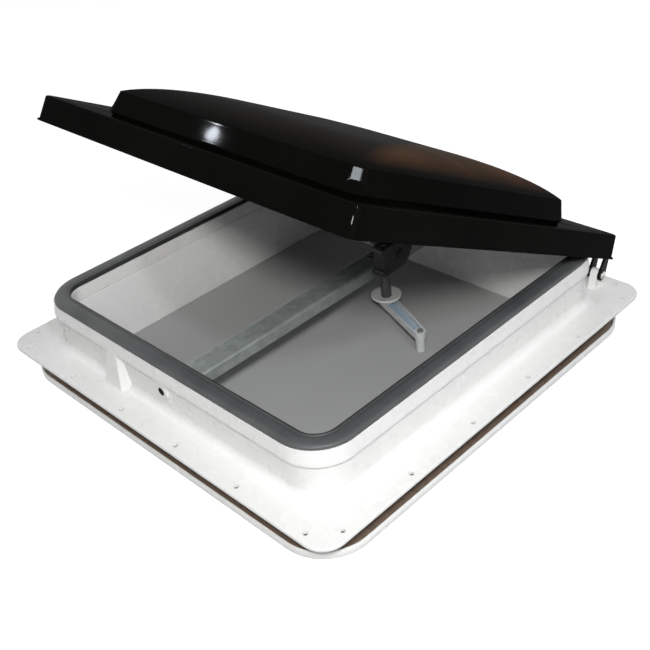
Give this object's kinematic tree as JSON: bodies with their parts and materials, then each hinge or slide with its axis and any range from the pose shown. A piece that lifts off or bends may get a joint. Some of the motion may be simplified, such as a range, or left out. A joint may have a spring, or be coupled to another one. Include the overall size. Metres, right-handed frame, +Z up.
{
  "type": "caravan roof vent",
  "caption": "Crank-up square roof vent: screw-down flanged base with a sealed rim, hinged domed lid, worm-geared lift arm on a crossbar, crank handle below and a telescoping ceiling trim.",
  "frame": {"origin": "centre of the roof opening, in the plane of the roof flange's underside", "axes": "+Z up out of the roof, +Y towards the lid's hinges, +X to the right when looking from the opening edge to the hinges"},
  "size_m": [0.4572, 0.4572, 0.2722],
  "materials": {
    "base_plastic": "smooth glossy white plastic",
    "trim_plastic": "glossy white plastic",
    "white_plastic": "satin white plastic",
    "lid_plastic": "high-gloss near-black plastic",
    "seal_rubber": "matte grey foam rubber",
    "galvanised_steel": "dull galvanised",
    "zinc_steel": "bright zinc plated",
    "cast_zinc": "satin die-cast grey",
    "black_metal": "black powder coat",
    "gear_plastic": "natural nylon"
  },
  "bodies": {
    "base": {"roof_base": "base_plastic", "rim_seal": "seal_rubber", "crossbar": "galvanised_steel", "bar_end_screws": "zinc_steel", "operator_housing": "cast_zinc", "operator_cover": "cast_zinc", "cover_screws": "zinc_steel", "foot_screws": "zinc_steel", "crank_neck": "cast_zinc", "neck_plate": "white_plastic", "hinge_pins": "zinc_steel"},
    "lid": {"lid_shell": "lid_plastic", "hinge_bracket_left": "black_metal", "hinge_bracket_right": "black_metal", "bracket_rivets": "black_metal", "lift_rail": "galvanised_steel", "rail_screws": "zinc_steel"},
    "lift_arm": {"lift_arm": "galvanised_steel", "arm_shaft": "zinc_steel", "arm_clip": "zinc_steel", "worm_wheel": "gear_plastic", "roller_pin": "zinc_steel"},
    "roller": {"roller": "gear_plastic"},
    "crank": {"worm_shaft": "zinc_steel", "crank_handle": "white_plastic", "crank_screw": "zinc_steel", "knob_pin": "zinc_steel"},
    "knob": {"crank_knob": "white_plastic"},
    "ceiling_trim": {"ceiling_trim": "trim_plastic"}
  },
  "joints": [
    {"name": "lid_hinge", "type": "hinge", "parent": "base", "child": "lid", "pos_m": [0, 0.207, 0.017], "axis": [-1, 0, 0], "range_deg": [-27.45, 22.5]},
    {"name": "arm_pivot", "type": "hinge", "parent": "base", "child": "lift_arm", "pos_m": [0.0104, 0.0917, 0.0405], "axis": [-1, 0, 0], "range_deg": [-46, 37.8]},
    {"name": "roller_spin", "type": "hinge", "parent": "lift_arm", "child": "roller", "pos_m": [-0.0006, -0.02534, 0.17725], "axis": [1, 0, 0], "continuous": true},
    {"name": "crank_turn", "type": "hinge", "parent": "base", "child": "crank", "pos_m": [0.02015, 0.075, 0], "axis": [0, 0, 1], "range_deg": [-920, 755]},
    {"name": "knob_spin", "type": "hinge", "parent": "crank", "child": "knob", "pos_m": [0.08876, 0.04728, -0.02115], "axis": [0, 0, 1], "continuous": true},
    {"name": "trim_slide", "type": "slide", "parent": "base", "child": "ceiling_trim", "axis": [0, 0, -1], "range_m": [0, 0.035]}
  ],
  "couplings": [
    {"joint": "arm_pivot", "follows": "lid_hinge", "ratio": 1.6695},
    {"joint": "crank_turn", "follows": "lid_hinge", "ratio": 33.39}
  ]
}
